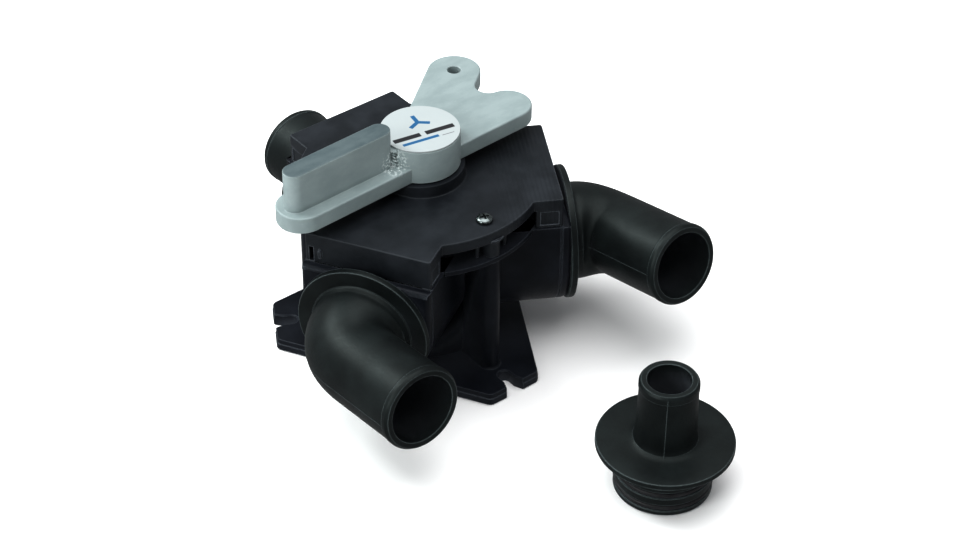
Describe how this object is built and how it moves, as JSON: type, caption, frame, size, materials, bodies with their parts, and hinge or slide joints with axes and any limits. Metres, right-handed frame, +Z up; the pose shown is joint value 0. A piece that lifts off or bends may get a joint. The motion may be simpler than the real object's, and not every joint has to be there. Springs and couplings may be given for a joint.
{
  "type": "diverter valve",
  "caption": "Three-port diverter valve for boat plumbing: flat footed body, two swivelling hose elbows, a straight hose tail, lever handle with a holed tail, and a loose reducer.",
  "frame": {"origin": "on the spindle axis, at the base's underside, which is the mounting face", "axes": "+Z is up along the spindle toward the handle; +Y runs along port c; ports a and b lie at 210 and 330 degrees from +X; metres"},
  "size_m": [0.1845, 0.2822, 0.117],
  "materials": {
    "body_plastic": "moulded black plastic, low satin sheen",
    "elbow_plastic": "moulded black plastic, matte with a grey sheen",
    "seal_rubber": "black sealing rubber",
    "handle_plastic": "light grey-green moulded plastic",
    "stainless_steel": "stainless steel",
    "label_face": "printed white label",
    "rotor_plastic": "off-white bearing plastic"
  },
  "bodies": {
    "valve": {"valve_body": "body_plastic", "cover_gasket": "seal_rubber", "top_cover": "body_plastic", "cover_screw_1": "stainless_steel", "cover_screw_2": "stainless_steel", "cover_screw_3": "stainless_steel", "thrust_washer": "rotor_plastic", "port_seal_a": "seal_rubber", "port_seal_b": "seal_rubber", "port_seal_c": "seal_rubber", "port_clip_a": "stainless_steel", "port_clip_b": "stainless_steel", "port_clip_c": "stainless_steel"},
    "handle_set": {"handle": "handle_plastic", "handle_washer": "stainless_steel", "handle_screw": "stainless_steel", "hub_label": "label_face", "rotor": "rotor_plastic", "spindle_seal": "seal_rubber"},
    "elbow_a": {"elbow_a": "elbow_plastic", "elbow_a_inner_oring": "seal_rubber", "elbow_a_outer_oring": "seal_rubber"},
    "elbow_b": {"elbow_b": "elbow_plastic", "elbow_b_inner_oring": "seal_rubber", "elbow_b_outer_oring": "seal_rubber"},
    "straight_tail": {"straight_tail": "elbow_plastic", "straight_tail_inner_oring": "seal_rubber", "straight_tail_outer_oring": "seal_rubber"},
    "reducer": {"reducer": "elbow_plastic", "reducer_lower_oring": "seal_rubber", "reducer_upper_oring": "seal_rubber"}
  },
  "joints": [
    {"name": "handle_turn", "type": "hinge", "parent": "valve", "child": "handle_set", "pos_m": [0, 0, 0.09], "axis": [0, 0, 1], "range_deg": [-92.5, 147.5]},
    {"name": "elbow_a_swivel", "type": "hinge", "parent": "valve", "child": "elbow_a", "pos_m": [0, 0, 0.044], "axis": [-0.866, -0.5, 0], "range_deg": [-40.8, 207.2]},
    {"name": "elbow_b_swivel", "type": "hinge", "parent": "valve", "child": "elbow_b", "pos_m": [0, 0, 0.044], "axis": [0.866, -0.5, 0], "range_deg": [-201.4, 46.6]},
    {"name": "straight_tail_swivel", "type": "hinge", "parent": "valve", "child": "straight_tail", "pos_m": [0, 0, 0.044], "axis": [0, 1, 0], "continuous": true},
    {"name": "reducer_lift", "type": "slide", "parent": "valve", "child": "reducer", "axis": [0, 0, 1], "range_m": [0, 0.1]}
  ]
}
